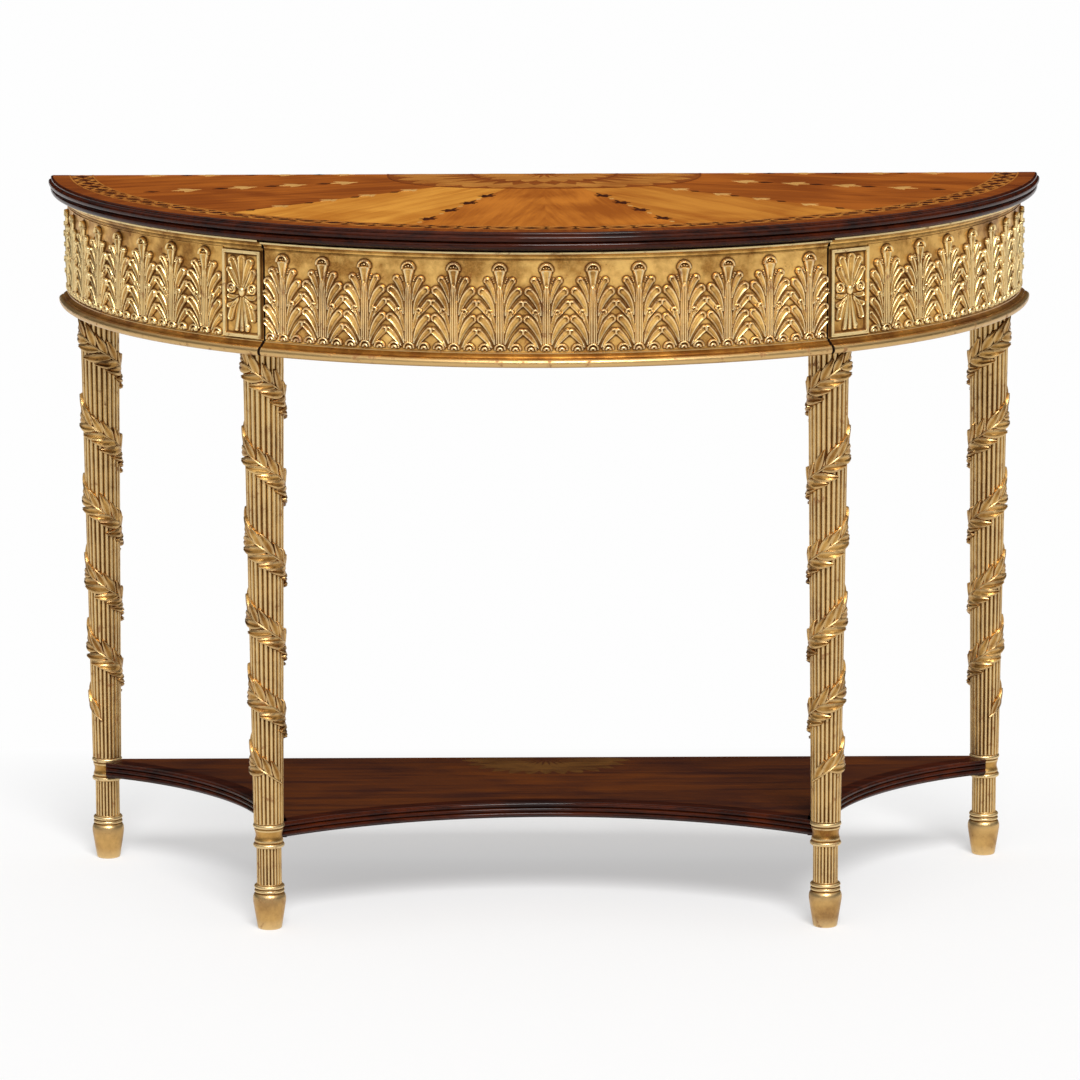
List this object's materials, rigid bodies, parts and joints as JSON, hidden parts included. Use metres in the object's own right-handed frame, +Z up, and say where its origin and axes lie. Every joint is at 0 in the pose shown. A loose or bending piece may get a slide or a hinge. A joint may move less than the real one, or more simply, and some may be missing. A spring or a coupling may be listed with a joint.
{
  "type": "demilune table",
  "caption": "Half-round console table with a bow-fronted frieze drawer, carved gilt frieze, tapering reeded legs and a low shelf with hollowed edges.",
  "frame": {"origin": "on the floor, in the middle of the footprint's bounding rectangle", "axes": "+X along the straight back edge, to the right seen from the front; +Y towards the wall behind; +Z up; the bowed front faces -Y"},
  "size_m": [1.269, 0.5799, 0.889],
  "materials": {
    "beech_dowel": "bare beech",
    "gilt_carving": "antique gilding over red bole",
    "gilt_frieze": "antique gilding over red bole",
    "gilt_leg": "antique gilding over red bole",
    "gilt_moulding": "antique gilding over red bole",
    "mahogany_moulding": "french-polished dark mahogany",
    "mahogany_shelf": "french-polished mahogany veneer",
    "oak_drawer": "waxed oak",
    "pine_frame": "stained softwood",
    "satinwood_top": "polished satinwood veneer with inlay",
    "steel_screw": "zinc-plated steel"
  },
  "bodies": {
    "table": {"back_corner_block_left": "pine_frame", "back_corner_block_right": "pine_frame", "back_rail": "pine_frame", "drawer_guide_left": "pine_frame", "drawer_guide_right": "pine_frame", "drawer_kicker_left": "pine_frame", "drawer_kicker_right": "pine_frame", "drawer_lower_rail": "pine_frame", "drawer_runner_left": "pine_frame", "drawer_runner_right": "pine_frame", "drawer_stops": "pine_frame", "drawer_upper_rail": "pine_frame", "front_pier_left": "gilt_frieze", "front_pier_right": "gilt_frieze", "leg_back_left": "gilt_leg", "leg_back_right": "gilt_leg", "leg_front_left": "gilt_leg", "leg_front_right": "gilt_leg", "rosette_tablet_left": "gilt_carving", "rosette_tablet_right": "gilt_carving", "shelf_board": "mahogany_shelf", "shelf_dowels": "beech_dowel", "shelf_front_moulding": "mahogany_moulding", "shelf_side_moulding_left": "mahogany_moulding", "shelf_side_moulding_right": "mahogany_moulding", "side_bead_left": "gilt_moulding", "side_bead_right": "gilt_moulding", "side_carving_left": "gilt_carving", "side_carving_right": "gilt_carving", "side_cornice_left": "gilt_moulding", "side_cornice_right": "gilt_moulding", "side_frieze_left": "gilt_frieze", "side_frieze_right": "gilt_frieze", "top_back_batten": "pine_frame", "top_edge_moulding": "mahogany_moulding", "top_fixing_blocks": "pine_frame", "top_panel": "satinwood_top", "top_screws": "steel_screw", "top_under_moulding": "mahogany_moulding"},
    "drawer": {"drawer_back": "oak_drawer", "drawer_bead": "gilt_moulding", "drawer_bottom": "oak_drawer", "drawer_bottom_screws": "steel_screw", "drawer_carving": "gilt_carving", "drawer_cornice": "gilt_moulding", "drawer_front": "gilt_frieze", "drawer_side_left": "oak_drawer", "drawer_side_right": "oak_drawer"}
  },
  "joints": [
    {"name": "drawer_slide", "type": "slide", "parent": "table", "child": "drawer", "axis": [0, -1, 0], "range_m": [0, 0.26]}
  ]
}
